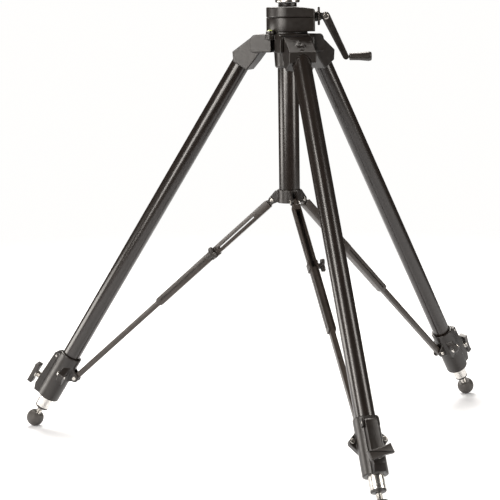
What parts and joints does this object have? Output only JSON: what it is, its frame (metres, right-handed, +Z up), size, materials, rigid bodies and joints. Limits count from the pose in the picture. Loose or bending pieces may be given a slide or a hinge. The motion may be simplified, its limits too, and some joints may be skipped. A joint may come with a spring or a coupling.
{
  "type": "tripod",
  "caption": "Camera tripod: splayed two-stage tube legs on rubber ball feet, a mid-level spreader with telescoping struts and a cranked geared centre column under a head plate.",
  "frame": {"origin": "on the floor, on the axis of the centre column", "axes": "+Z up the column; the front leg points along -Y and the crank shaft points 15 degrees towards -Y from +X"},
  "size_m": [0.8796, 0.7661, 0.7836],
  "materials": {
    "black_anodised": "gloss black anodised tube",
    "cast_black": "satin dark grey enamel on die casting",
    "strut_grey": "satin grey-black",
    "bright_aluminium": "clear anodised",
    "bright_steel": "bright plated",
    "black_plastic": "moulded, semi-matt",
    "grey_rubber": "matt moulded rubber",
    "level_green": "clear tinted vial"
  },
  "bodies": {
    "frame": {"crown_casting": "cast_black", "guide_tube": "black_anodised", "guide_bush": "black_plastic", "spreader_hub": "cast_black", "gear_housing_base": "cast_black", "gear_housing_cover": "cast_black", "bearing_nut": "cast_black", "bubble_level": "level_green", "hip_pin_1": "bright_steel", "hip_pin_2": "bright_steel", "hip_pin_3": "bright_steel", "hub_pin_1": "bright_steel", "hub_pin_2": "bright_steel", "hub_pin_3": "bright_steel"},
    "column": {"column_tube": "black_anodised", "column_rack": "bright_steel", "column_collar": "cast_black", "camera_plate": "bright_aluminium", "camera_stud": "bright_steel"},
    "crank_shaft": {"pinion_shaft": "bright_steel"},
    "drag_ring": {"friction_ring": "black_plastic"},
    "crank": {"crank_arm": "cast_black", "crank_screw": "bright_steel"},
    "grip": {"crank_grip": "black_plastic"},
    "leg_1": {"leg_yoke_1": "cast_black", "leg_tube_1": "black_anodised", "clamp_housing_1": "cast_black", "clamp_jaw_1": "cast_black", "strut_pin_1": "bright_steel"},
    "leg_clamp_knob_1": {"clamp_knob_1": "black_plastic"},
    "lower_leg_1": {"lower_tube_1": "bright_aluminium", "foot_spindle_1": "bright_steel", "foot_ball_1": "grey_rubber"},
    "strut_1": {"strut_channel_1": "strut_grey"},
    "lock_knob_1": {"strut_knob_1": "black_plastic"},
    "inner_strut_1": {"strut_bar_1": "strut_grey"},
    "leg_2": {"leg_yoke_2": "cast_black", "leg_tube_2": "black_anodised", "clamp_housing_2": "cast_black", "clamp_jaw_2": "cast_black", "strut_pin_2": "bright_steel"},
    "leg_clamp_knob_2": {"clamp_knob_2": "black_plastic"},
    "lower_leg_2": {"lower_tube_2": "bright_aluminium", "foot_spindle_2": "bright_steel", "foot_ball_2": "grey_rubber"},
    "strut_2": {"strut_channel_2": "strut_grey"},
    "lock_knob_2": {"strut_knob_2": "black_plastic"},
    "inner_strut_2": {"strut_bar_2": "strut_grey"},
    "leg_3": {"leg_yoke_3": "cast_black", "leg_tube_3": "black_anodised", "clamp_housing_3": "cast_black", "clamp_jaw_3": "cast_black", "strut_pin_3": "bright_steel"},
    "leg_clamp_knob_3": {"clamp_knob_3": "black_plastic"},
    "lower_leg_3": {"lower_tube_3": "bright_aluminium", "foot_spindle_3": "bright_steel", "foot_ball_3": "grey_rubber"},
    "strut_3": {"strut_channel_3": "strut_grey"},
    "lock_knob_3": {"strut_knob_3": "black_plastic"},
    "inner_strut_3": {"strut_bar_3": "strut_grey"}
  },
  "joints": [
    {"name": "column_lift", "type": "slide", "parent": "frame", "child": "column", "axis": [0, 0, 1], "range_m": [0, 0.25]},
    {"name": "crank_turn", "type": "hinge", "parent": "frame", "child": "crank_shaft", "pos_m": [-0.00518, -0.01932, 0.7445], "axis": [0.9659, -0.2588, 0], "range_deg": [0, 1910]},
    {"name": "drag_ring_turn", "type": "hinge", "parent": "crank_shaft", "child": "drag_ring", "pos_m": [-0.00518, -0.01932, 0.7445], "axis": [0.9659, -0.2588, 0], "range_deg": [0, 360]},
    {"name": "crank_arm_fold", "type": "hinge", "parent": "crank_shaft", "child": "crank", "pos_m": [0.05713, -0.03601, 0.7445], "axis": [-0.2588, -0.9659, 0], "range_deg": [-10, 60]},
    {"name": "crank_grip_spin", "type": "hinge", "parent": "crank", "child": "grip", "pos_m": [0.08973, -0.04475, 0.67529], "axis": [0.9659, -0.2588, 0], "continuous": true},
    {"name": "leg_fold_1", "type": "hinge", "parent": "frame", "child": "leg_1", "pos_m": [0, -0.048, 0.7], "axis": [1, 0, 0], "range_deg": [0, 31]},
    {"name": "leg_extend_1", "type": "slide", "parent": "leg_1", "child": "lower_leg_1", "axis": [0, -0.5299, -0.848], "range_m": [0, 0.4]},
    {"name": "clamp_knob_turn_1", "type": "hinge", "parent": "leg_1", "child": "leg_clamp_knob_1", "pos_m": [0, -0.45032, 0.0788], "axis": [0, -0.848, 0.5299], "range_deg": [0, 360]},
    {"name": "strut_fold_1", "type": "hinge", "parent": "frame", "child": "strut_1", "pos_m": [0, -0.03, 0.428], "axis": [1, 0, 0], "range_deg": [0, 46.7]},
    {"name": "lock_knob_turn_1", "type": "hinge", "parent": "strut_1", "child": "lock_knob_1", "pos_m": [0, -0.13867, 0.332], "axis": [1, 0, 0], "range_deg": [0, 360]},
    {"name": "inner_strut_fold_1", "type": "hinge", "parent": "leg_1", "child": "inner_strut_1", "pos_m": [0, -0.40749, 0.0945], "axis": [1, 0, 0], "range_deg": [0, 15.7]},
    {"name": "leg_fold_2", "type": "hinge", "parent": "frame", "child": "leg_2", "pos_m": [0.04157, 0.024, 0.7], "axis": [-0.5, 0.866, 0], "range_deg": [0, 31]},
    {"name": "leg_extend_2", "type": "slide", "parent": "leg_2", "child": "lower_leg_2", "axis": [0.4589, 0.265, -0.848], "range_m": [0, 0.4]},
    {"name": "clamp_knob_turn_2", "type": "hinge", "parent": "leg_2", "child": "leg_clamp_knob_2", "pos_m": [0.38999, 0.22516, 0.0788], "axis": [0.7344, 0.424, 0.5299], "range_deg": [0, 360]},
    {"name": "strut_fold_2", "type": "hinge", "parent": "frame", "child": "strut_2", "pos_m": [0.02598, 0.015, 0.428], "axis": [-0.5, 0.866, 0], "range_deg": [0, 46.7]},
    {"name": "lock_knob_turn_2", "type": "hinge", "parent": "strut_2", "child": "lock_knob_2", "pos_m": [0.12009, 0.06933, 0.332], "axis": [-0.5, 0.866, 0], "range_deg": [0, 360]},
    {"name": "inner_strut_fold_2", "type": "hinge", "parent": "leg_2", "child": "inner_strut_2", "pos_m": [0.3529, 0.20375, 0.0945], "axis": [-0.5, 0.866, 0], "range_deg": [0, 15.7]},
    {"name": "leg_fold_3", "type": "hinge", "parent": "frame", "child": "leg_3", "pos_m": [-0.04157, 0.024, 0.7], "axis": [-0.5, -0.866, 0], "range_deg": [0, 31]},
    {"name": "leg_extend_3", "type": "slide", "parent": "leg_3", "child": "lower_leg_3", "axis": [-0.4589, 0.265, -0.848], "range_m": [0, 0.4]},
    {"name": "clamp_knob_turn_3", "type": "hinge", "parent": "leg_3", "child": "leg_clamp_knob_3", "pos_m": [-0.38999, 0.22516, 0.0788], "axis": [-0.7344, 0.424, 0.5299], "range_deg": [0, 360]},
    {"name": "strut_fold_3", "type": "hinge", "parent": "frame", "child": "strut_3", "pos_m": [-0.02598, 0.015, 0.428], "axis": [-0.5, -0.866, 0], "range_deg": [0, 46.7]},
    {"name": "lock_knob_turn_3", "type": "hinge", "parent": "strut_3", "child": "lock_knob_3", "pos_m": [-0.12009, 0.06933, 0.332], "axis": [-0.5, -0.866, 0], "range_deg": [0, 360]},
    {"name": "inner_strut_fold_3", "type": "hinge", "parent": "leg_3", "child": "inner_strut_3", "pos_m": [-0.3529, 0.20375, 0.0945], "axis": [-0.5, -0.866, 0], "range_deg": [0, 15.7]}
  ],
  "couplings": [
    {"joint": "crank_turn", "follows": "column_lift", "rad_per_m": 133.33},
    {"joint": "strut_fold_1", "follows": "leg_fold_1", "ratio": 1.5047},
    {"joint": "inner_strut_fold_1", "follows": "leg_fold_1", "ratio": 0.5047},
    {"joint": "strut_fold_2", "follows": "leg_fold_2", "ratio": 1.5047},
    {"joint": "inner_strut_fold_2", "follows": "leg_fold_2", "ratio": 0.5047},
    {"joint": "strut_fold_3", "follows": "leg_fold_3", "ratio": 1.5047},
    {"joint": "inner_strut_fold_3", "follows": "leg_fold_3", "ratio": 0.5047}
  ]
}
